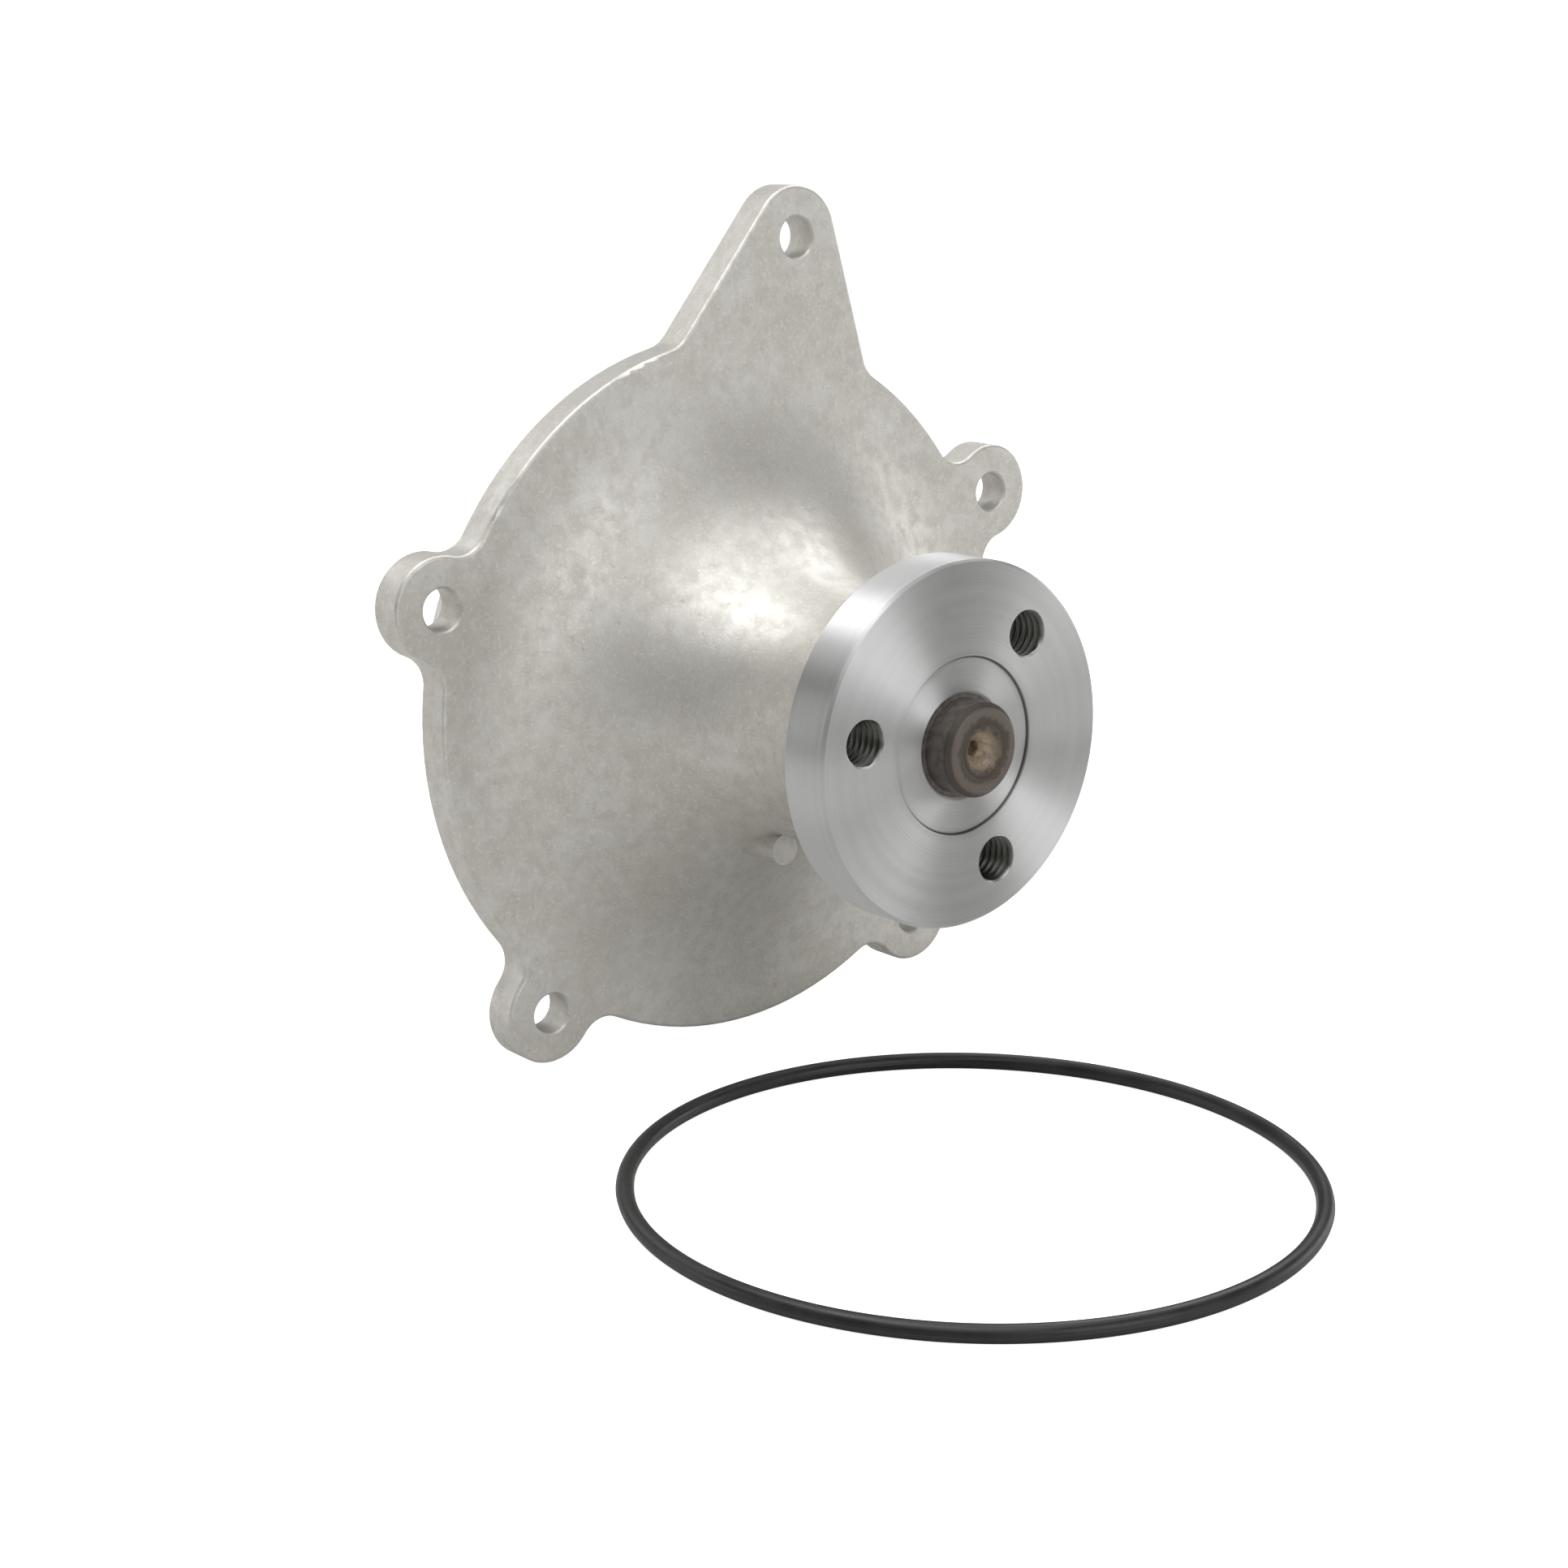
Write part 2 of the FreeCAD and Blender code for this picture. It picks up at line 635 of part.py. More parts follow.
def impeller():
    hub = tube(INSERT_R, IMPELLER_HUB_R, IMPELLER_FRONT, IMPELLER_REAR)
    wheel = hub.fuse(tube(INSERT_R, IMPELLER_R, IMPELLER_FRONT, IMPELLER_FRONT + DISC_T))
    blade = vane()
    blades = []
    for index in range(VANE_COUNT):
        copy = blade.copy()
        copy.rotate(ORIGIN, AXIS, index * 360.0 / VANE_COUNT)
        blades.append(copy)
    wheel = wheel.fuse(blades)
    tip_trim = turned([
        (VANE_IN_R, IMPELLER_REAR + 0.01),
        (IMPELLER_R + 2, IMPELLER_REAR + 0.01),
        (IMPELLER_R + 2, VANE_TIP_REAR),
        (IMPELLER_R, VANE_TIP_REAR),
    ])
    rim_trim = tube(IMPELLER_R, IMPELLER_R + 6, IMPELLER_FRONT - 1, IMPELLER_REAR + 1)
    wheel = wheel.cut([tip_trim, rim_trim])
    holes = []
    for index in range(VANE_COUNT):
        place = at(RELIEF_RADIUS, RELIEF_DEG + index * 360.0 / VANE_COUNT)
        holes.append(disc(RELIEF_R, IMPELLER_FRONT - 1, IMPELLER_REAR + 1, place.x, place.z))
    return wheel.cut(holes).removeSplitter()


def impeller_insert():
    return tube(SHAFT_R, INSERT_R, IMPELLER_FRONT, IMPELLER_REAR)


def body_o_ring():
    level = -BODY_R + O_RING_WIRE_R
    centre = V(O_RING_X, O_RING_Y, level)
    return Part.makeTorus(O_RING_INSIDE_R + O_RING_WIRE_R, O_RING_WIRE_R, centre, V(0, 0, 1))


def all_pieces():
    pieces = {
        "housing": housing(),
        "bearing_outer_ring": bearing_outer_ring(),
        "bearing_seal_front": lip_seal(BEARING_FRONT + LIP_INSET),
        "bearing_seal_rear": lip_seal(BEARING_FRONT + BEARING_L - LIP_INSET - LIP_T),
        "shaft": shaft(),
        "hub_flange": hub_flange(),
        "slinger": slinger(),
        "ball_cage": ball_cage(),
        "roller_cage": roller_cage(),
        "seal_case": seal_case(),
        "seal_bellows": seal_bellows(),
        "seal_spring": seal_spring(),
        "seal_carbon_ring": seal_carbon_ring(),
        "seal_carbon_holder": seal_carbon_holder(),
        "seal_mating_ring": seal_mating_ring(),
        "seal_mating_boot": seal_mating_boot(),
        "impeller": impeller(),
        "impeller_insert": impeller_insert(),
        "body_o_ring": body_o_ring(),
    }
    for number, place in enumerate(ball_places(), start=1):
        pieces[f"ball_{number}"] = Part.makeSphere(BALL_R, place)
    for number, place in enumerate(roller_places(), start=1):
        pieces[f"roller_{number}"] = roller(place)
    return pieces


def main():
    os.makedirs("parts", exist_ok=True)
    for name, shape in all_pieces().items():
        shape.exportStep(f"parts/{name}.step")
        print(f"{name:20s} volume {shape.Volume:10.1f} solids {len(shape.Solids)} valid {shape.isValid()}")


main()
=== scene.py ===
import json
import math

import bmesh
import bpy
from mathutils import Matrix, Vector

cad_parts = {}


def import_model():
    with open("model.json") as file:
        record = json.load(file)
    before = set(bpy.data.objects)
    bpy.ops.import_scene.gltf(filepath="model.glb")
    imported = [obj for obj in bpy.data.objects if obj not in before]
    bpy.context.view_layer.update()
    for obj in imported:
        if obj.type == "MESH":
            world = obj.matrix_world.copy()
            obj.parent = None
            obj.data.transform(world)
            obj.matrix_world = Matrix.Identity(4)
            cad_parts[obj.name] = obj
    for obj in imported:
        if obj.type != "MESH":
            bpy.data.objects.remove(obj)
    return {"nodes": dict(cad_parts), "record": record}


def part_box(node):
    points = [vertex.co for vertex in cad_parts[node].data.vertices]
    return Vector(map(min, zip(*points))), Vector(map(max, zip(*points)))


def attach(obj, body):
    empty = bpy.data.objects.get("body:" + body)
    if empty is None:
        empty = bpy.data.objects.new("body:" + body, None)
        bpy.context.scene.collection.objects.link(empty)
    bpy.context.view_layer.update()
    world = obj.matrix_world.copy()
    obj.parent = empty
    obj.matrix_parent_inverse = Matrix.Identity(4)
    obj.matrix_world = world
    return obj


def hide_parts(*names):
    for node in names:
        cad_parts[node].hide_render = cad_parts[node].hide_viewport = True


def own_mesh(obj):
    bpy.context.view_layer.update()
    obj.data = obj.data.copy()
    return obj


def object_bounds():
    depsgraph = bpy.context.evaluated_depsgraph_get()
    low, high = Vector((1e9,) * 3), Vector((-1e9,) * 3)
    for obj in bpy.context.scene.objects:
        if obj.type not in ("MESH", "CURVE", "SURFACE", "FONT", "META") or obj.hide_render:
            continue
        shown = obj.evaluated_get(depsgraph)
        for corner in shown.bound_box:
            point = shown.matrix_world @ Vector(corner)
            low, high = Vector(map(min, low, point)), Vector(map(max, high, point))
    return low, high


# An engine water pump and its loose O-ring. The shaft lies along Y, the pulley flange faces -Y and the
# pointed ear is up. Meshes are in metres. Sizes of the pump's pieces are written in millimetres, unless a
# comment says otherwise, and MM turns them into metres.

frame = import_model()
cad_low, cad_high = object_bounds()

MM = 0.001
WELD = 2e-6      # in metres: points of a cut piece that are closer than this are made one
MOUNTS = {mount["name"]: mount for mount in frame["record"]["mounts"]}

# Housing
MACHINED_DEPTH = 2.6     # into the spigot, just past the bottom of its O-ring groove
BORES_R = 18.6           # just wider than the bore that holds the face seal
BORES_REAR_Y = 3.5       # just behind the boss round that bore

# Pulley flange
BOLTS = MOUNTS["pulley_bolts"]["dims"]
BOLT_FIRST_DEG = 50.8
THREAD_MAJOR_R = 4.0
THREAD_PITCH = 1.25
THREAD_MOUTH = 0.3
RECESS_R = 13.6
RECESS_DEPTH = 0.5
COLLAR_R = 12.5
COLLAR_LENGTH = 1.4
RIM_CHAMFER = 0.45

# Shaft
NOSE_R = 7.2
NOSE_CHAMFER = 0.9
NOSE_LENGTH = 5.1
CENTRE_R = 3.2
CENTRE_DEPTH = 2.6
PILOT_R = 1.2
PILOT_DEPTH = 6.0
PILOT_TIP = 0.4
BALL_TRACK_Y = -16.5
BALL_TRACK_R = 2.8
BALL_TRACK_BOTTOM_R = 6.85

# Impeller
VANE_COUNT = 7
VANE_EYE_R = 16.5
VANE_RIM_R = 40.0
VANE_TIP_DROP = 3.5
VANE_MIDDLE_DEG = -25
VANE_END_DEG = -42
DISC_THICKNESS = 2.5
HUB_R = 14.5
RELIEF_R = 1.6
RELIEF_CENTRE_R = 19.5
RELIEF_FIRST_DEG = 17

# How strong the finer steps of the noise in space are
NOISE_ROUGHNESS = 0.55


def box_mm(node):
    """Lowest and highest corner of a CAD node in millimetres."""
    low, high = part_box(node)
    return low / MM, high / MM


def bolt_places():
    """Middle of each tapped hole, in millimetres."""
    places = []
    for index in range(BOLTS["count"]):
        angle = math.radians(BOLT_FIRST_DEG) + index * 2 * math.pi / BOLTS["count"]
        places.append(Vector((math.cos(angle), 0, math.sin(angle))) * BOLTS["pcd_mm"] / 2)
    return places


# ---------------------------------------------------------------- mesh helpers


def softened(corners, radius, steps=4, closed=True):
    """Outline of (r, y) points with every corner rounded by about this radius."""
    outline = []
    for index, corner in enumerate(corners):
        here = Vector(corner)
        if not closed and index in (0, len(corners) - 1):
            outline.append(here)
            continue
        back = Vector(corners[index - 1]) - here
        onward = Vector(corners[(index + 1) % len(corners)]) - here
        reach = min(radius, 0.45 * back.length, 0.45 * onward.length)
        start = here + back.normalized() * reach
        end = here + onward.normalized() * reach
        for step in range(steps + 1):
            t = step / steps
            outline.append(start * (1 - t) ** 2 + here * 2 * t * (1 - t) + end * t ** 2)
    return outline


def turned(outline, around=192, closed=True):
    """Mesh of revolution about the shaft axis from (r, y) points in millimetres."""
    mesh = bmesh.new()
    rings = []
    for r, y in outline:
        ring = []
        for step in range(around):
            angle = 2 * math.pi * step / around
            ring.append(mesh.verts.new((r * math.cos(angle) * MM, y * MM, r * math.sin(angle) * MM)))
        rings.append(ring)
    last = len(rings) if closed else len(rings) - 1
    for index in range(last):
        first, second = rings[index], rings[(index + 1) % len(rings)]
        for step in range(around):
            following = (step + 1) % around
            mesh.faces.new((first[step], first[following], second[following], second[step]))
    bmesh.ops.remove_doubles(mesh, verts=mesh.verts, dist=1e-7)
    bmesh.ops.recalc_face_normals(mesh, faces=mesh.faces)
    return mesh


def finish_mesh(name, mesh, sharp_deg=32):
    data = bpy.data.meshes.new(name)
    mesh.to_mesh(data)
    mesh.free()
    data.shade_smooth()
    data.set_sharp_from_angle(angle=math.radians(sharp_deg))
    return data


def new_object(name, data):
    piece = bpy.data.objects.new(name, data)
    bpy.context.scene.collection.objects.link(piece)
    return piece


def place_piece(piece, body, slot, *replaced):
    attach(piece, body)
    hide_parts(*replaced)
    return piece


def weigh_normals(piece):
    """Flat faces stay flat right up to their rounded edges."""
    modifier = piece.modifiers.new("flat_faces", "WEIGHTED_NORMAL")
    modifier.keep_sharp = True
    modifier.weight = 100


def carve(piece, cutters, operation="DIFFERENCE"):
    """Cuts the cutters out of the piece, or joins them to it, and keeps the result as its mesh."""
    for cutter in cutters:
        modifier = piece.modifiers.new("hole", "BOOLEAN")
        modifier.operation = operation
        modifier.solver = "EXACT"
        modifier.object = cutter
    depsgraph = bpy.context.evaluated_depsgraph_get()
    depsgraph.update()
    carved = bpy.data.meshes.new_from_object(piece.evaluated_get(depsgraph))
    piece.modifiers.clear()
    mesh = bmesh.new()
    mesh.from_mesh(carved)
    bmesh.ops.remove_doubles(mesh, verts=mesh.verts, dist=WELD)
    bmesh.ops.dissolve_degenerate(mesh, edges=mesh.edges, dist=WELD)
    mesh.to_mesh(carved)
    mesh.free()
    piece.data = carved
    for cutter in cutters:
        bpy.data.objects.remove(cutter)


# ---------------------------------------------------------------- material helpers


class Look:
    """A node material being built on the Principled shader, with places in the pump's frame, in metres."""

    def __init__(self, name, **sockets):
        self.material = bpy.data.materials.new(name)
        self.material.use_nodes = True
        self.tree = self.material.node_tree
        self.tree.nodes.clear()
        self.shader = self.add("ShaderNodeBsdfPrincipled")
        for socket, value in sockets.items():
            self.shader.inputs[socket.replace("_", " ")].default_value = value
        output = self.add("ShaderNodeOutputMaterial")
        self.tree.links.new(self.shader.outputs[0], output.inputs[0])
        self.place = self.add("ShaderNodeTexCoord").outputs["Object"]
        self.axes = self.add("ShaderNodeSeparateXYZ")
        self.tree.links.new(self.place, self.axes.inputs[0])
        self.y = self.axes.outputs["Y"]
        across = self.math("MULTIPLY", self.axes.outputs["X"], self.axes.outputs["X"])
        upward = self.math("MULTIPLY", self.axes.outputs["Z"], self.axes.outputs["Z"])
        self.radius = self.math("SQRT", self.math("ADD", across, upward))

    def add(self, kind, **settings):
        node = self.tree.nodes.new(kind)
        for key, value in settings.items():
            setattr(node, key, value)
        return node

    def feed(self, socket, value):
        if isinstance(value, bpy.types.NodeSocket):
            self.tree.links.new(value, socket)
        else:
            socket.default_value = value

    def math(self, operation, first, second=0.0):
        node = self.add("ShaderNodeMath", operation=operation)
        self.feed(node.inputs[0], first)
        self.feed(node.inputs[1], second)
        return node.outputs[0]

    def span(self, value, low, high, to_low=0.0, to_high=1.0):
        """Maps low..high smoothly to to_low..to_high and holds the ends."""
        node = self.add("ShaderNodeMapRange", interpolation_type="SMOOTHSTEP")
        for socket, number in zip(node.inputs, (value, low, high, to_low, to_high)):
            self.feed(socket, number)
        return node.outputs[0]

    def noise(self, size_mm, detail):
        """Noise from 0 to 1 whose features are about this large."""
        node = self.add("ShaderNodeTexNoise")
        self.feed(node.inputs["Vector"], self.place)
        node.inputs["Scale"].default_value = 1 / (size_mm * MM)
        node.inputs["Detail"].default_value = detail
        node.inputs["Roughness"].default_value = NOISE_ROUGHNESS
        return node.outputs[0]

    def line_noise(self, value, size_mm, detail):
        """One-dimensional noise along a value in metres, for turning marks."""
        node = self.add("ShaderNodeTexNoise", noise_dimensions="1D")
        self.feed(node.inputs["W"], value)
        node.inputs["Scale"].default_value = 1 / (size_mm * MM)
        node.inputs["Detail"].default_value = detail
        return node.outputs[0]

    def mix(self, share, first, second):
        node = self.add("ShaderNodeMix", data_type="RGBA")
        self.feed(node.inputs["Factor"], share)
        self.feed(node.inputs["A"], (*first, 1) if isinstance(first, tuple) else first)
        self.feed(node.inputs["B"], (*second, 1) if isinstance(second, tuple) else second)
        return node.outputs["Result"]

    def blend(self, share, first, second):
        node = self.add("ShaderNodeMix", data_type="FLOAT")
        self.feed(node.inputs["Factor"], share)
        self.feed(node.inputs["A"], first)
        self.feed(node.inputs["B"], second)
        return node.outputs["Result"]

    def edge(self, radius_mm, low=0.02, high=0.25):
        """Near 1 where the surface turns sharply within this distance, and 0 on open faces."""
        bevel = self.add("ShaderNodeBevel", samples=6)
        bevel.inputs["Radius"].default_value = radius_mm * MM
        geometry = self.add("ShaderNodeNewGeometry")
        match = self.add("ShaderNodeVectorMath", operation="DOT_PRODUCT")
        self.feed(match.inputs[0], bevel.outputs[0])
        self.feed(match.inputs[1], geometry.outputs["Normal"])
        away = self.math("SUBTRACT", 1.0, match.outputs["Value"])
        return self.span(away, low, high)

    def bump(self, height, depth_mm, strength):
        node = self.add("ShaderNodeBump")
        node.inputs["Strength"].default_value = strength
        node.inputs["Distance"].default_value = depth_mm * MM
        self.feed(node.inputs["Height"], height)
        return node.outputs[0]

    def set(self, **sockets):
        for socket, value in sockets.items():
            self.feed(self.shader.inputs[socket.replace("_", " ")], value)


# ---------------------------------------------------------------- materials


def cast_aluminium():
    """Tumbled casting: warm grey, mottled and matt, with machined rear face, spigot and bores."""
    look = Look("cast_aluminium_tumbled", Metallic=0.7)
    clouds = look.noise(14, 4)
    blotches = look.noise(2.4, 3)
    specks = look.noise(0.5, 2)
    pits = look.span(look.noise(1.3, 1), 0.68, 0.76)
    skin = look.mix(look.span(clouds, 0.3, 0.7), (0.575, 0.562, 0.518), (0.655, 0.640, 0.605))
    skin = look.mix(look.span(blotches, 0.35, 0.7, 0.0, 0.55), skin, (0.51, 0.498, 0.455))
    skin = look.mix(look.span(specks, 0.50, 0.75, 0.0, 0.5), skin, (0.78, 0.765, 0.725))
    skin = look.mix(look.math("MULTIPLY", pits, 0.22), skin, (0.36, 0.35, 0.32))
    skin_rough = look.span(look.noise(2.4, 3), 0.3, 0.75, 0.44, 0.55)

    spigot_r = MOUNTS["spigot"]["dims"]["r_mm"] * MM
    behind = look.span(look.y, -0.15 * MM, -0.02 * MM)
    outer = look.math("GREATER_THAN", look.radius, spigot_r - 0.1 * MM)
    rear_face = look.math("MULTIPLY", behind, outer)
    groove_walls = look.math("GREATER_THAN", look.radius, spigot_r - MACHINED_DEPTH * MM)
    spigot = look.math("MULTIPLY", look.math("GREATER_THAN", look.y, 0.0), groove_walls)
    bores = look.math("LESS_THAN", look.radius, BORES_R * MM)
    inward = look.math("MULTIPLY", bores, look.math("LESS_THAN", look.y, BORES_REAR_Y * MM))
    machined = look.math("MAXIMUM", rear_face, look.math("MAXIMUM", spigot, inward))

    rings = look.line_noise(look.math("ADD", look.radius, look.y), 0.22, 3)
    cut = look.mix(rings, (0.70, 0.70, 0.69), (0.80, 0.80, 0.79))
    worn = look.edge(0.5)
    colour = look.mix(machined, skin, cut)
    colour = look.mix(look.math("MULTIPLY", worn, 0.15), colour, (0.82, 0.81, 0.79))
    rough = look.blend(machined, skin_rough, look.span(rings, 0.2, 0.8, 0.24, 0.36))
    rough = look.math("SUBTRACT", rough, look.math("MULTIPLY", worn, 0.03))

    grain = look.noise(0.35, 3)
    waves = look.noise(5, 2)
    relief = look.math("ADD", look.math("MULTIPLY", grain, 0.35), waves)
    relief = look.math("SUBTRACT", relief, look.math("MULTIPLY", pits, 0.3))
    relief = look.blend(machined, relief, look.math("MULTIPLY", rings, 0.2))
    look.set(Base_Color=colour, Roughness=rough, Normal=look.bump(relief, 0.12, 0.5))
    return look.material


def flange_steel():
    """Bright turned steel: fine circular tool marks that give the spokes of light on a turned face."""
    dark, bright = (0.60, 0.60, 0.60), (0.75, 0.75, 0.755)
    look = Look("turned_steel_bright", Metallic=1.0, Anisotropic=1.0, Anisotropic_Rotation=0.25)
    travel = look.math("ADD", look.radius, look.y)
    fine = look.line_noise(travel, 0.12, 3)
    broad = look.line_noise(travel, 1.6, 2)
    smudge = look.noise(7, 3)
    colour = look.mix(look.span(fine, 0.2, 0.8), dark, bright)
    colour = look.mix(look.span(broad, 0.5, 0.8, 0.0, 0.15), colour, dark)
    colour = look.mix(look.span(smudge, 0.5, 0.8, 0.0, 0.3), colour, dark)
    worn = look.edge(0.3)
    colour = look.mix(look.math("MULTIPLY", worn, 0.5), colour, (0.85, 0.85, 0.85))
    face = box_mm("hub_flange")[0].y
    below_face = look.span(look.y, (face + 0.1) * MM, (face + 0.5) * MM)
    # Painted shade: the corner at the foot of the recess's wall and the insides of the tapped holes are
    # darkened.
    corner = look.math("ABSOLUTE", look.math("SUBTRACT", look.radius, RECESS_R * MM))
    corner = look.span(corner, 0.15 * MM, 0.45 * MM, 1.0, 0.0)
    painted_shade = look.math("MULTIPLY", corner, below_face)
    for place in bolt_places():
        aside = look.math("SUBTRACT", look.axes.outputs["X"], place.x * MM)
        above = look.math("SUBTRACT", look.axes.outputs["Z"], place.z * MM)
        aside = look.math("MULTIPLY", aside, aside)
        above = look.math("MULTIPLY", above, above)
        away = look.math("SQRT", look.math("ADD", aside, above))
        inside = look.span(away, THREAD_MAJOR_R * MM, (THREAD_MAJOR_R + 0.3) * MM, 1.0, 0.0)
        painted_shade = look.math("MAXIMUM", painted_shade, look.math("MULTIPLY", inside, below_face))
    # The painted shade is laid on here as a dark colour.
    colour = look.mix(look.math("MULTIPLY", painted_shade, 0.85), colour, (0.15, 0.152, 0.13))
    rough = look.span(look.math("ADD", broad, look.math("MULTIPLY", smudge, 0.6)), 0.4, 1.2, 0.47, 0.52)
    tangent = look.add("ShaderNodeTangent", direction_type="RADIAL", axis="Y")
    look.set(
        Base_Color=colour,
        Roughness=rough,
        Tangent=tangent.outputs[0],
        Normal=look.bump(fine, 0.002, 0.1),
    )
    return look.material


def nose_steel(front_mm):
    """Shaft end browned by heat and a film of rust, painted shade on its chamfer and on a ring of its end
    face, and a tan centre drilling lightened by a painted reflection.
    """
    look = Look("shaft_steel_browned")
    fine = look.line_noise(look.math("ADD", look.radius, look.y), 0.16, 3)
    patches = look.noise(1.1, 3)
    specks = look.noise(0.35, 2)
    brown = look.mix(look.span(patches, 0.35, 0.7), (0.115, 0.103, 0.094), (0.185, 0.168, 0.154))
    brown = look.mix(look.span(specks, 0.60, 0.78, 0.0, 0.5), brown, (0.28, 0.25, 0.225))
    brown = look.mix(look.span(fine, 0.50, 0.75, 0.0, 0.6), brown, (0.055, 0.047, 0.042))
    at_front = look.math("LESS_THAN", look.y, (front_mm + 8) * MM)
    on_face = look.span(look.y, (front_mm + 0.1) * MM, (front_mm + 0.3) * MM, 1.0, 0.0)
    # Painted shade: the front chamfer is darkened.
    shaded_chamfer = look.span(look.y, (front_mm + 0.9) * MM, (front_mm + 1.2) * MM, 1.0, 0.0)
    brown = look.mix(look.math("MULTIPLY", shaded_chamfer, 0.8), brown, (0.060, 0.046, 0.038))
    uneven = look.math("MULTIPLY", look.math("SUBTRACT", patches, 0.5), 2.4 * MM)
    wavy = look.math("ADD", look.radius, uneven)
    rubbed = look.math("MULTIPLY", on_face, look.span(wavy, 4.7 * MM, 5.5 * MM))
    brown = look.mix(look.math("MULTIPLY", rubbed, 0.8), brown, (0.165, 0.138, 0.120))
    # Painted shade: a dark ring on the end face, beside the fine turned ring.
    off_ring = look.math("ABSOLUTE", look.math("SUBTRACT", wavy, 4.4 * MM))
    ring_shade = look.span(off_ring, 0.2 * MM, 0.6 * MM, 1.0, 0.0)
    ring_shade = look.math("MULTIPLY", ring_shade, on_face)
    brown = look.mix(look.math("MULTIPLY", ring_shade, 0.8), brown, (0.085, 0.066, 0.048))
    # The centre drilling is tan rust, painted lighter as a painted reflection of its inside.
    drilled = look.span(wavy, 2.2 * MM, 3.8 * MM, 1.0, 0.0)
    tan = look.mix(look.span(patches, 0.3, 0.7), (0.22, 0.175, 0.125), (0.52, 0.41, 0.30))
    colour = look.mix(look.math("MULTIPLY", drilled, at_front), brown, tan)
    ground = look.mix(fine, (0.50, 0.50, 0.50), (0.62, 0.62, 0.61))
    inside = look.span(look.y, (front_mm + 6) * MM, (front_mm + 9) * MM)
    colour = look.mix(inside, colour, ground)
    rough = look.blend(inside, look.span(patches, 0.3, 0.75, 0.42, 0.62), 0.25)
    metal = look.blend(inside, look.span(look.radius, 3.0 * MM, 3.9 * MM, 0.2, 0.55), 1.0)
    look.set(Base_Color=colour, Roughness=rough, Metallic=metal)
    look.set(Normal=look.bump(look.math("ADD", fine, specks), 0.03, 0.5))
    return look.material


def plain_metal(name, dark, bright, rough_low, rough_high, mark_mm=0.15):
    """Ground or pressed metal with fine marks along the turning and a little staining."""
    look = Look(name, Metallic=1.0)
    fine = look.line_noise(look.math("ADD", look.radius, look.y), mark_mm, 3)
    stains = look.noise(2.5, 4)
    colour = look.mix(look.span(fine, 0.3, 0.7), dark, bright)
    colour = look.mix(look.span(stains, 0.5, 0.8, 0.0, 0.35), colour, dark)
    worn = look.edge(0.2)
    colour = look.mix(look.math("MULTIPLY", worn, 0.5), colour, bright)
    rough = look.span(stains, 0.3, 0.75, rough_low, rough_high)
    look.set(Base_Color=colour, Roughness=rough, Normal=look.bump(fine, 0.01, 0.4))
    return look.material


def paler(colour, times):
    """The colour made this many times brighter, and never quite black."""
    return tuple(min(1.0, channel * times + 0.01) for channel in colour)


def moulded(name, dark, bright, rough_low, rough_high, grain_mm=0.3, depth_mm=0.02, specular=0.5):
    """Moulded rubber, plastic, carbon or ceramic: faint flow clouds, fine grain and paler handled edges."""
    look = Look(name, Metallic=0.0, Specular_IOR_Level=specular)
    flow = look.noise(6, 3)
    grain = look.noise(grain_mm, 2)
    dust = look.span(look.noise(0.8, 3), 0.62, 0.78)
    colour = look.mix(look.span(flow, 0.3, 0.7), dark, bright)
    colour = look.mix(look.math("MULTIPLY", dust, 0.25), colour, paler(bright, 1.8))
    worn = look.edge(0.25)
    colour = look.mix(look.math("MULTIPLY", worn, 0.35), colour, paler(bright, 1.6))
    rough = look.span(look.math("ADD", flow, grain), 0.6, 1.4, rough_low, rough_high)
    look.set(Base_Color=colour, Roughness=rough, Normal=look.bump(grain, depth_mm, 0.5))
    return look.material


def dress(node, material):
    """Gives a CAD node its finished material in every slot."""
    for slot in frame["nodes"][node].material_slots:
        slot.material = material


# ---------------------------------------------------------------- flange


def thread_cutter(place, face_y, rear_y, name):
    """Bar with a real thread on it, which cuts one tapped hole with chamfered mouths."""
    minor_r, major_r, pitch = BOLTS["hole_r_mm"], THREAD_MAJOR_R, THREAD_PITCH
    around = 48
    # How deep the bar cuts at even steps along one pitch, as a share of the full depth.
    profile = [0.0, 0.0, 0.35, 0.8, 1.0, 1.0, 0.65, 0.2]
    steps = len(profile)
    # The thread's depth at the front face, and how much deeper it gets with each millimetre behind it.
    start_depth, deepening = 0.12, 0.7
    mesh = bmesh.new()
    # The bar sticks out past both faces, so that it cuts right through.
    first_y = face_y - 2.5 * pitch
    rows = int((rear_y - face_y + 4 * pitch) / pitch) * steps
    grid = []
    for row in range(rows):
        ring = []
        for step in range(around):
            turn = step / around
            y = first_y + (row / steps + turn) * pitch
            depth = min(max(start_depth + deepening * (y - face_y), 0.0), major_r - minor_r)
            r = minor_r + depth * profile[row % steps]
            mouth = minor_r + THREAD_MOUTH - max(y - face_y, -THREAD_MOUTH)
            exit_mouth = minor_r + THREAD_MOUTH - max(rear_y - y, -THREAD_MOUTH)
            r = max(r, mouth, exit_mouth)
            angle = turn * 2 * math.pi
            point = (place.x + r * math.cos(angle), y, place.z + r * math.sin(angle))
            ring.append(mesh.verts.new(Vector(point) * MM))
        grid.append(ring)
    for row in range(rows - 1):
        for step in range(around):
            if step < around - 1:
                near, far = grid[row][step + 1], grid[row + 1][step + 1]
            elif row + steps + 1 < rows:
                near, far = grid[row + steps][0], grid[row + steps + 1][0]
            else:
                continue
            mesh.faces.new((grid[row][step], near, far, grid[row + 1][step]))
    open_edges = [edge for edge in mesh.edges if edge.is_boundary]
    bmesh.ops.holes_fill(mesh, edges=open_edges, sides=0)
    bmesh.ops.recalc_face_normals(mesh, faces=mesh.faces)
    return new_object(name, finish_mesh(name, mesh))


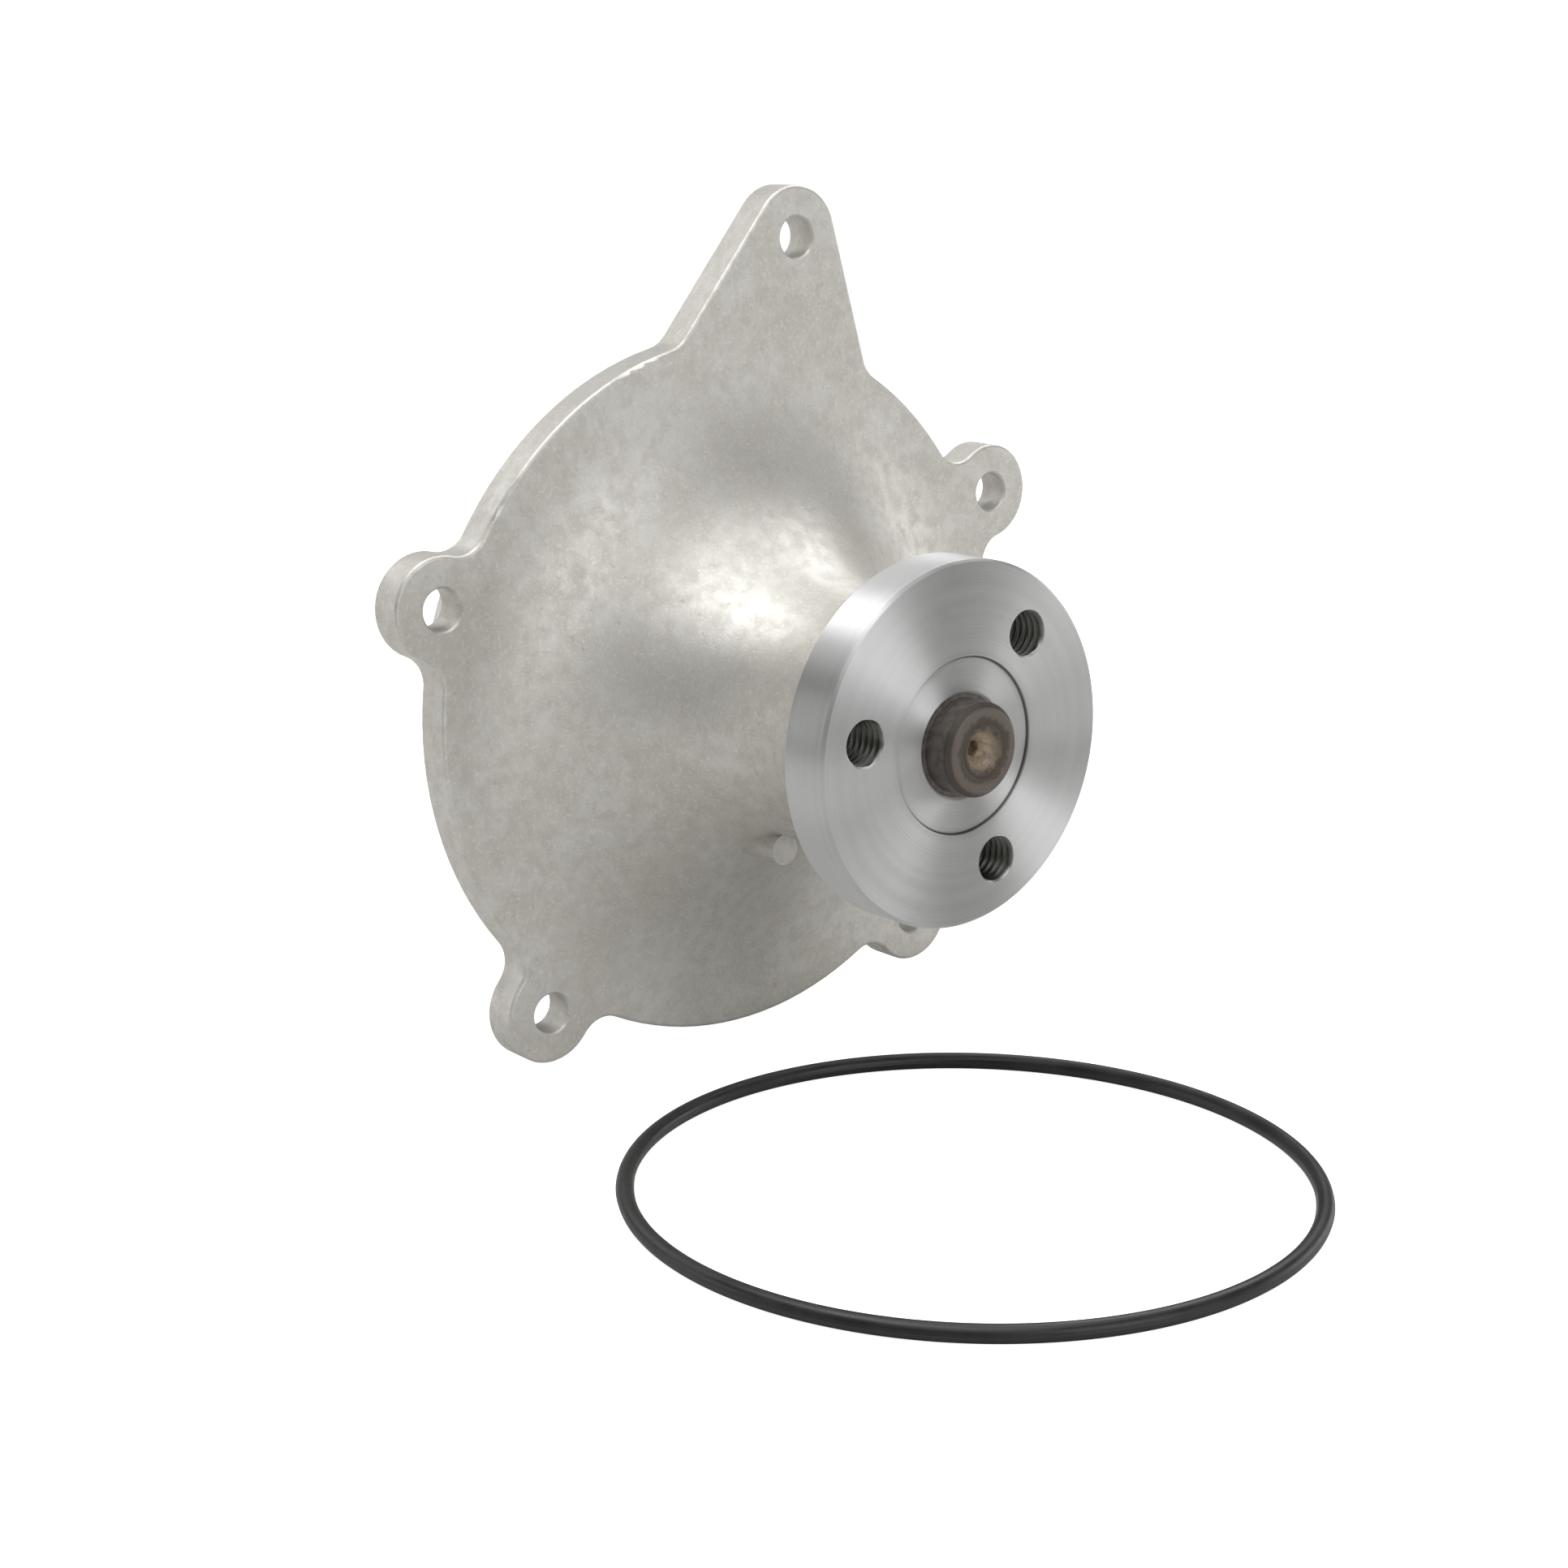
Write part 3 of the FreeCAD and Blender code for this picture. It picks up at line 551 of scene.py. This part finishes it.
def flange_piece():
    low, high = box_mm("hub_flange")
    face = low.y
    rim_r = high.x
    shaft_r = box_mm("shaft")[1].x
    floor_y = face + RECESS_DEPTH
    collar_rear = high.y
    rear = collar_rear - COLLAR_LENGTH
    outline = softened([
        (shaft_r + 0.4, floor_y),
        # A fine groove runs round the foot of the recess's wall.
        (RECESS_R - 0.3, floor_y),
        (RECESS_R - 0.12, floor_y + 0.15),
        (RECESS_R, floor_y + 0.15),
        (RECESS_R, face),
        (rim_r - RIM_CHAMFER, face),
        (rim_r, face + RIM_CHAMFER),
        (rim_r, rear - 0.5),
        (rim_r - 0.5, rear),
        (COLLAR_R + 0.4, rear),
        (COLLAR_R, rear + 0.4),
        (COLLAR_R, collar_rear - 0.4),
        (COLLAR_R - 0.4, collar_rear),
        (shaft_r, collar_rear),
        (shaft_r, floor_y + 0.4),
    ], 0.1)
    piece = new_object("pulley_flange", finish_mesh("pulley_flange", turned(outline, 256)))
    cutters = []
    for index, place in enumerate(bolt_places()):
        cutters.append(thread_cutter(place, face, rear, f"cutter_{index}"))
    carve(piece, cutters)
    piece.data.set_sharp_from_angle(angle=math.radians(32))
    weigh_normals(piece)
    return place_piece(piece, "rotor", "turned_steel", "hub_flange")


# ---------------------------------------------------------------- shaft


def shaft_piece():
    low, high = box_mm("shaft")
    front, rear = low.y, high.y
    shaft_r = high.x
    step_y = front + NOSE_LENGTH
    track_centre_r = BALL_TRACK_BOTTOM_R + BALL_TRACK_R
    half = math.sqrt(BALL_TRACK_R ** 2 - (track_centre_r - shaft_r) ** 2)
    nose = [
        (0, front + PILOT_DEPTH + PILOT_TIP),
        (PILOT_R, front + PILOT_DEPTH),
        (PILOT_R, front + CENTRE_DEPTH),
        (CENTRE_R, front + 0.15),
        (3.4, front),
        # A fine ring is turned into the end face.
        (3.9, front),
        (4.1, front + 0.12),
        (4.3, front),
        (NOSE_R - NOSE_CHAMFER, front),
        (NOSE_R, front + NOSE_CHAMFER),
        (NOSE_R, step_y),
        (shaft_r, step_y),
        (shaft_r, BALL_TRACK_Y - half),
    ]
    groove = []
    for step in range(1, 12):
        angle = math.pi * step / 12
        spread = math.cos(angle) * half
        depth = math.sqrt(BALL_TRACK_R ** 2 - spread ** 2)
        groove.append((track_centre_r - depth, BALL_TRACK_Y - spread))
    tail = [
        (shaft_r, BALL_TRACK_Y + half),
        (shaft_r, rear - 0.8),
        (shaft_r - 0.8, rear),
        (CENTRE_R, rear),
        (PILOT_R, rear - CENTRE_DEPTH),
        (PILOT_R, rear - PILOT_DEPTH),
        (0, rear - PILOT_DEPTH - PILOT_TIP),
    ]
    outline = softened(nose, 0.1, 3, False) + groove + softened(tail, 0.1, 3, False)
    piece = new_object("pump_shaft", finish_mesh("pump_shaft", turned(outline, 128, False), 40))
    weigh_normals(piece)
    return place_piece(piece, "rotor", "shaft_steel", "shaft")


# ---------------------------------------------------------------- impeller


def around_shaft(radius, degrees):
    """Point at a radius and an angle round the shaft, in millimetres, with its place along the shaft 0."""
    angle = math.radians(degrees)
    return Vector((radius * math.cos(angle), 0, radius * math.sin(angle)))


def circle_through(first, middle, last):
    """Centre in the X-Z plane of the circle through three points."""
    rows = Matrix((
        (2 * (middle.x - first.x), 2 * (middle.z - first.z)),
        (2 * (last.x - first.x), 2 * (last.z - first.z)),
    ))
    sides = Vector((middle.length_squared - first.length_squared, last.length_squared - first.length_squared))
    x, z = rows.inverted() @ sides
    return Vector((x, 0, z))


def vane_section(height):
    """Half of a vane's outline: a filleted root, a side with draft and a rounded top."""
    root = [(2.1, -0.3), (1.95, 0.0), (1.62, 0.16), (1.36, 0.42), (1.2, 0.75), (1.12, 1.2)]
    side = [(1.06, 0.25 * height), (1.0, 0.5 * height), (0.94, 0.75 * height), (0.9, height - 0.6)]
    top = [(0.86, height - 0.36), (0.72, height - 0.15), (0.5, height - 0.04), (0.25, height)]
    return root + side + top


def add_vane(mesh, turn_deg, disc_rear, eye_rear):
    """Swept vane from the eye to the rim, on the arc that the CAD vane follows."""
    start = around_shaft(VANE_EYE_R, turn_deg)
    middle = around_shaft((VANE_EYE_R + VANE_RIM_R) / 2, turn_deg + VANE_MIDDLE_DEG)
    end = around_shaft(VANE_RIM_R, turn_deg + VANE_END_DEG)
    centre = circle_through(start, middle, end)
    bend = (start - centre).length
    first = math.atan2(start.z - centre.z, start.x - centre.x)
    sweep = math.atan2(end.z - centre.z, end.x - centre.x) - first
    sweep = (sweep + math.pi) % (2 * math.pi) - math.pi
    steps = 48
    # Length of each rounded end, and the share of the width that is left at its tip.
    nose, thinnest = 1.4, 0.12
    length = abs(sweep) * bend
    rings = []
    for step in range(steps + 1):
        share = 0.5 - 0.5 * math.cos(math.pi * step / steps)
        along = share * length
        from_end = min(along, length - along, nose)
        narrowing = thinnest + (1 - thinnest) * math.sqrt(1 - (1 - from_end / nose) ** 2)
        angle = first + sweep * share
        outward = Vector((math.cos(angle), 0, math.sin(angle)))
        here = centre + outward * bend
        drop = VANE_TIP_DROP * (here.length - VANE_EYE_R) / (VANE_RIM_R - VANE_EYE_R)
        half = vane_section(eye_rear - drop - disc_rear)
        full = [(-offset, lift) for offset, lift in half]
        full += reversed(half)
        ring = []
        for offset, lift in full:
            point = here + outward * offset * narrowing
            point.y = disc_rear + lift
            ring.append(mesh.verts.new(point * MM))
        rings.append(ring)
    for near, far in zip(rings, rings[1:]):
        for index in range(len(near)):
            following = (index + 1) % len(near)
            mesh.faces.new((near[index], near[following], far[following], far[index]))
    mesh.faces.new(rings[0])
    mesh.faces.new(rings[-1])


def impeller_piece():
    """One-piece moulding: disc, hub, seven swept vanes and the small pressure relief holes."""
    low, high = box_mm("impeller")
    bore_r = box_mm("impeller_insert")[1].x
    rim_r = high.x
    disc_rear = low.y + DISC_THICKNESS
    outline = softened([
        (bore_r, low.y),
        (rim_r, low.y),
        (rim_r, disc_rear),
        (HUB_R + 1.6, disc_rear),
        (HUB_R + 0.4, disc_rear + 0.5),
        (HUB_R, disc_rear + 1.8),
        (HUB_R, high.y),
        (bore_r, high.y),
    ], 0.6)
    piece = new_object("impeller_moulding", finish_mesh("impeller_moulding", turned(outline, 192)))
    vanes = bmesh.new()
    reliefs = bmesh.new()
    for index in range(VANE_COUNT):
        turn_deg = index * 360 / VANE_COUNT
        add_vane(vanes, turn_deg, disc_rear, high.y)
        place = around_shaft(RELIEF_CENTRE_R, RELIEF_FIRST_DEG + turn_deg)
        place.y = disc_rear
        spot = Matrix.Translation(place * MM) @ Matrix.Rotation(math.pi / 2, 4, "X")
        bmesh.ops.create_cone(
            reliefs,
            cap_ends=True,
            segments=32,
            radius1=RELIEF_R * MM,
            radius2=RELIEF_R * MM,
            depth=8 * MM,
            matrix=spot,
        )
    bmesh.ops.recalc_face_normals(vanes, faces=vanes.faces)
    bmesh.ops.recalc_face_normals(reliefs, faces=reliefs.faces)
    carve(piece, [new_object("vanes", finish_mesh("vanes", vanes))], "UNION")
    carve(piece, [new_object("reliefs", finish_mesh("reliefs", reliefs))])
    piece.data.set_sharp_from_angle(angle=math.radians(38))
    weigh_normals(piece)
    return place_piece(piece, "rotor", "moulded_impeller", "impeller")


# ---------------------------------------------------------------- face seal


def flatten_with_seal(piece):
    """Gives the piece its own copy of its mesh."""
    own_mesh(piece)


def bellows_piece():
    """Rubber bellows: a wide foot, one rounded fold and the head behind the carbon ring."""
    low, high = box_mm("seal_bellows")
    foot_r = high.x
    inner_r, outer_r, fold_r, head_r, wall = 10.2, 11.4, 12.2, 14.4, 1.0
    middle = (low.y + high.y) / 2
    outline = softened([
        (inner_r, low.y),
        (foot_r, low.y),
        (foot_r, low.y + wall),
        (outer_r, low.y + wall),
        (outer_r, middle - 1.3),
        (fold_r, middle - 0.3),
        (fold_r, middle + 0.3),
        (outer_r, middle + 1.3),
        (outer_r, high.y - wall),
        (head_r, high.y - wall),
        (head_r, high.y),
        (inner_r, high.y),
        (inner_r, middle + 1.3),
        (inner_r + 0.8, middle + 0.3),
        (inner_r + 0.8, middle - 0.3),
        (inner_r, middle - 1.3),
    ], 0.3)
    piece = new_object("rubber_bellows", finish_mesh("rubber_bellows", turned(outline, 96)))
    place_piece(piece, "housing", "seal_rubber", "seal_bellows")
    flatten_with_seal(piece)
    return piece


def spring_piece():
    """Compression spring of two and a half turns round the bellows."""
    low, high = box_mm("seal_spring")
    wire = 0.55
    coil_r = high.x - wire
    turns, steps, sides = 2.5, 160, 16
    first_y, rise = low.y + wire, high.y - low.y - 2 * wire
    mesh = bmesh.new()
    rings = []
    for step in range(steps + 1):
        share = step / steps
        angle = 2 * math.pi * turns * share
        outward = Vector((math.cos(angle), 0, math.sin(angle)))
        centre = outward * coil_r
        centre.y = first_y + rise * share
        ring = []
        for side in range(sides):
            turn = 2 * math.pi * side / sides
            point = centre + (outward * math.cos(turn) + Vector((0, math.sin(turn), 0))) * wire
            ring.append(mesh.verts.new(point * MM))
        rings.append(ring)
    for near, far in zip(rings, rings[1:]):
        for side in range(sides):
            following = (side + 1) % sides
            mesh.faces.new((near[side], near[following], far[following], far[side]))
    mesh.faces.new(rings[0])
    mesh.faces.new(rings[-1])
    bmesh.ops.recalc_face_normals(mesh, faces=mesh.faces)
    piece = new_object("coil_spring", finish_mesh("coil_spring", mesh, 50))
    place_piece(piece, "housing", "spring_steel", "seal_spring")
    flatten_with_seal(piece)
    return piece


# ---------------------------------------------------------------- O-ring


def o_ring_piece():
    """Moulded ring with the thin mould line round its inside and outside, worked out in metres."""
    low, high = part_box("body_o_ring")
    centre = (low + high) / 2
    wire = (high.z - low.z) / 2
    ring_r = (high.x - low.x) / 2 - wire
    line_height = 0.045 * MM
    line_width = 0.05      # to each side, as a share of the wire's radius
    around = 300
    # Half of the section in degrees: close steps over the mould lines, even ones between.
    beside_line = [0, 2.2, 4.5, 8]
    between_lines = [18, 31, 44, 57, 70, 83, 97, 110, 123, 136, 149, 162]
    before_line = [172, 175.5, 177.8]
    section = []
    for side in (0, 180):
        for offset in beside_line + between_lines + before_line:
            section.append(math.radians(side + offset))
    mesh = bmesh.new()
    rings = []
    for step in range(around):
        angle = 2 * math.pi * step / around
        ring = []
        for turn in section:
            lift = math.exp(-(math.sin(turn) / line_width) ** 2)
            r = wire - line_height * (1 - lift)
            reach = ring_r + r * math.cos(turn)
            ring.append(mesh.verts.new((
                centre.x + reach * math.cos(angle),
                centre.y + reach * math.sin(angle),
                centre.z + r * math.sin(turn),
            )))
        rings.append(ring)
    for step in range(around):
        first, second = rings[step], rings[(step + 1) % around]
        for index in range(len(section)):
            following = (index + 1) % len(section)
            mesh.faces.new((first[index], second[index], second[following], first[following]))
    bmesh.ops.recalc_face_normals(mesh, faces=mesh.faces)
    piece = new_object("rubber_o_ring", finish_mesh("rubber_o_ring", mesh, 60))
    return place_piece(piece, "loose_o_ring", "o_ring_rubber", "body_o_ring")


# ---------------------------------------------------------------- put together

flange = flange_piece()
flange.data.materials.clear()
flange.data.materials.append(flange_steel())

shaft = shaft_piece()
shaft.data.materials.append(nose_steel(box_mm("shaft")[0].y))

o_ring = o_ring_piece()
o_ring.data.materials.append(moulded(
    "o_ring_rubber_soft", (0.006, 0.006, 0.0065), (0.014, 0.014, 0.015), 0.30, 0.48, 0.25, 0.01,
))

dress("housing", cast_aluminium())

bearing_steel = plain_metal("bearing_steel_ground", (0.48, 0.48, 0.49), (0.66, 0.66, 0.67), 0.16, 0.30)
for name in frame["nodes"]:
    if name.startswith(("ball_", "roller_")) and not name.endswith("cage"):
        dress(name, bearing_steel)
dress("bearing_outer_ring", bearing_steel)
dress("impeller_insert", bearing_steel)

spring_steel = plain_metal("spring_steel_drawn", (0.42, 0.42, 0.42), (0.62, 0.62, 0.61), 0.22, 0.38)
spring = spring_piece()
spring.data.materials.append(spring_steel)
dress("seal_carbon_holder", spring_steel)
dress("seal_case", plain_metal("brass_pressed", (0.52, 0.38, 0.16), (0.74, 0.58, 0.30), 0.22, 0.42, 0.3))

seal_rubber = moulded("seal_rubber_moulded", (0.010, 0.010, 0.010), (0.022, 0.022, 0.022), 0.40, 0.62)
for name in ("bearing_seal_front", "bearing_seal_rear", "seal_mating_boot", "slinger"):
    dress(name, seal_rubber)
bellows = bellows_piece()
bellows.data.materials.append(seal_rubber)
ceramic = moulded("ceramic_lapped", (0.74, 0.73, 0.69), (0.84, 0.83, 0.80), 0.18, 0.35, 0.2, 0.005)
dress("seal_mating_ring", ceramic)
carbon = moulded("carbon_lapped", (0.028, 0.028, 0.030), (0.05, 0.05, 0.053), 0.32, 0.5, 0.2, 0.01)
dress("seal_carbon_ring", carbon)

nylon = moulded("cage_nylon_moulded", (0.46, 0.38, 0.22), (0.60, 0.52, 0.34), 0.38, 0.55, 0.5, 0.02)
dress("ball_cage", nylon)
dress("roller_cage", nylon)
impeller = impeller_piece()
impeller.data.materials.clear()
impeller.data.materials.append(moulded(
    "impeller_glass_filled", (0.020, 0.020, 0.022), (0.042, 0.042, 0.045), 0.38, 0.58, 0.4, 0.03,
))


# ---------------------------------------------------------------- floor, light, camera


def direction(azimuth, elevation):
    """Unit vector towards a place seen from the object: azimuth 0 is in front, 90 to the right."""
    a, e = math.radians(azimuth), math.radians(elevation)
    return Vector((math.sin(a) * math.cos(e), -math.cos(a) * math.cos(e), math.sin(e)))


def level_right(azimuth):
    """Level unit vector to the right of one who looks in from this azimuth."""
    return Vector((math.cos(math.radians(azimuth)), math.sin(math.radians(azimuth)), 0))


def floor():
    """Plain pale floor, a touch brighter to the camera than in reflections."""
    mesh = bmesh.new()
    bmesh.ops.create_circle(mesh, cap_ends=True, segments=96, radius=FLOOR_RADIUS)
    data = bpy.data.meshes.new("floor")
    mesh.to_mesh(data)
    mesh.free()
    ground = new_object("floor", data)
    ground.location.z = cad_low.z - FLOOR_DROP
    material = bpy.data.materials.new("floor_pale")
    material.use_nodes = True
    nodes, links = material.node_tree.nodes, material.node_tree.links
    nodes.clear()
    matt = nodes.new("ShaderNodeBsdfDiffuse")
    matt.inputs["Color"].default_value = (0.80, 0.80, 0.80, 1)
    reflected = nodes.new("ShaderNodeBsdfDiffuse")
    reflected.inputs["Color"].default_value = (0.68, 0.68, 0.67, 1)
    glow = nodes.new("ShaderNodeEmission")
    glow.inputs["Strength"].default_value = 0.90
    path = nodes.new("ShaderNodeLightPath")
    seen = nodes.new("ShaderNodeMixShader")
    both = nodes.new("ShaderNodeAddShader")
    output = nodes.new("ShaderNodeOutputMaterial")
    links.new(matt.outputs[0], both.inputs[0])
    links.new(glow.outputs[0], both.inputs[1])
    links.new(path.outputs["Is Camera Ray"], seen.inputs[0])
    links.new(reflected.outputs[0], seen.inputs[1])
    links.new(both.outputs[0], seen.inputs[2])
    links.new(seen.outputs[0], output.inputs[0])
    data.materials.append(material)


# What each soft box is for, with its azimuth and elevation in degrees and how bright it is.
SOFT_BOXES = {
    "key from the front": (0, 20, 2.2),
    "fill below the front": (0, -5, 0.8),
    "fill for the plate": (35, -5, 0.6),
    "right side of the flange": (70, 0, 2.2),
    "right rim": (110, 45, 3.2),
    "camera side, high": (-40, 45, 1.2),
    "overhead, camera side": (-40, 70, 2.6),
    "overhead, left": (-120, 70, 4.0),
    "overhead, right": (50, 70, 1.2),
    "overhead, behind": (140, 70, 1.4),
    "left edge of the plate": (-125, 10, 1.5),
    "back": (-165, 30, 1.5),
}

# Soft boxes, floor and camera are in metres, the lens and sensor in millimetres.
BOX_WIDTH = 0.50
BOX_HEIGHT = 0.34
BOX_DISTANCE = 0.80
FLOOR_RADIUS = 1.5
FLOOR_DROP = 0.05 * MM
CAMERA_AT = (-0.2637, -0.3339, 0.0885)
CAMERA_AZIMUTH = -39.8
CAMERA_ELEVATION = 13.95
CAMERA_LENS = 60.1
CAMERA_SENSOR = 36


def soft_box(azimuth, elevation, radiance):
    """Evenly bright panel that faces the pump from a direction."""
    name = f"panel_{azimuth}_{elevation}"
    lamp = bpy.data.lights.new(name, "AREA")
    lamp.shape = "RECTANGLE"
    lamp.size = BOX_WIDTH
    lamp.size_y = BOX_HEIGHT
    lamp.energy = radiance * math.pi * BOX_WIDTH * BOX_HEIGHT
    holder = new_object(name, lamp)
    away = direction(azimuth, elevation)
    across = level_right(azimuth)
    turn = Matrix((across, away.cross(across), away)).transposed().to_4x4()
    holder.matrix_world = Matrix.Translation(away * BOX_DISTANCE) @ turn


def world():
    sky = bpy.data.worlds.new("studio")
    sky.use_nodes = True
    nodes, links = sky.node_tree.nodes, sky.node_tree.links
    nodes.clear()
    room = nodes.new("ShaderNodeBackground")
    room.inputs["Color"].default_value = (1.0, 0.985, 0.96, 1)
    room.inputs["Strength"].default_value = 0.20
    backdrop = nodes.new("ShaderNodeBackground")
    backdrop.inputs["Color"].default_value = (1, 1, 1, 1)
    backdrop.inputs["Strength"].default_value = 1.05
    path = nodes.new("ShaderNodeLightPath")
    seen = nodes.new("ShaderNodeMixShader")
    output = nodes.new("ShaderNodeOutputWorld")
    links.new(path.outputs["Is Camera Ray"], seen.inputs[0])
    links.new(room.outputs[0], seen.inputs[1])
    links.new(backdrop.outputs[0], seen.inputs[2])
    links.new(seen.outputs[0], output.inputs[0])
    bpy.context.scene.world = sky


def camera():
    """Close view from the left of the flange, a little above it."""
    back = direction(CAMERA_AZIMUTH, CAMERA_ELEVATION)
    right = level_right(CAMERA_AZIMUTH)
    up = back.cross(right)
    lens = bpy.data.cameras.new("camera")
    lens.sensor_width = CAMERA_SENSOR
    lens.lens = CAMERA_LENS
    eye = new_object("camera", lens)
    turn = Matrix((right, up, back)).transposed().to_4x4()
    eye.matrix_world = Matrix.Translation(Vector(CAMERA_AT)) @ turn
    bpy.context.scene.camera = eye


floor()
world()
for azimuth, elevation, radiance in SOFT_BOXES.values():
    soft_box(azimuth, elevation, radiance)
camera()
bpy.context.scene.view_settings.view_transform = "Standard"
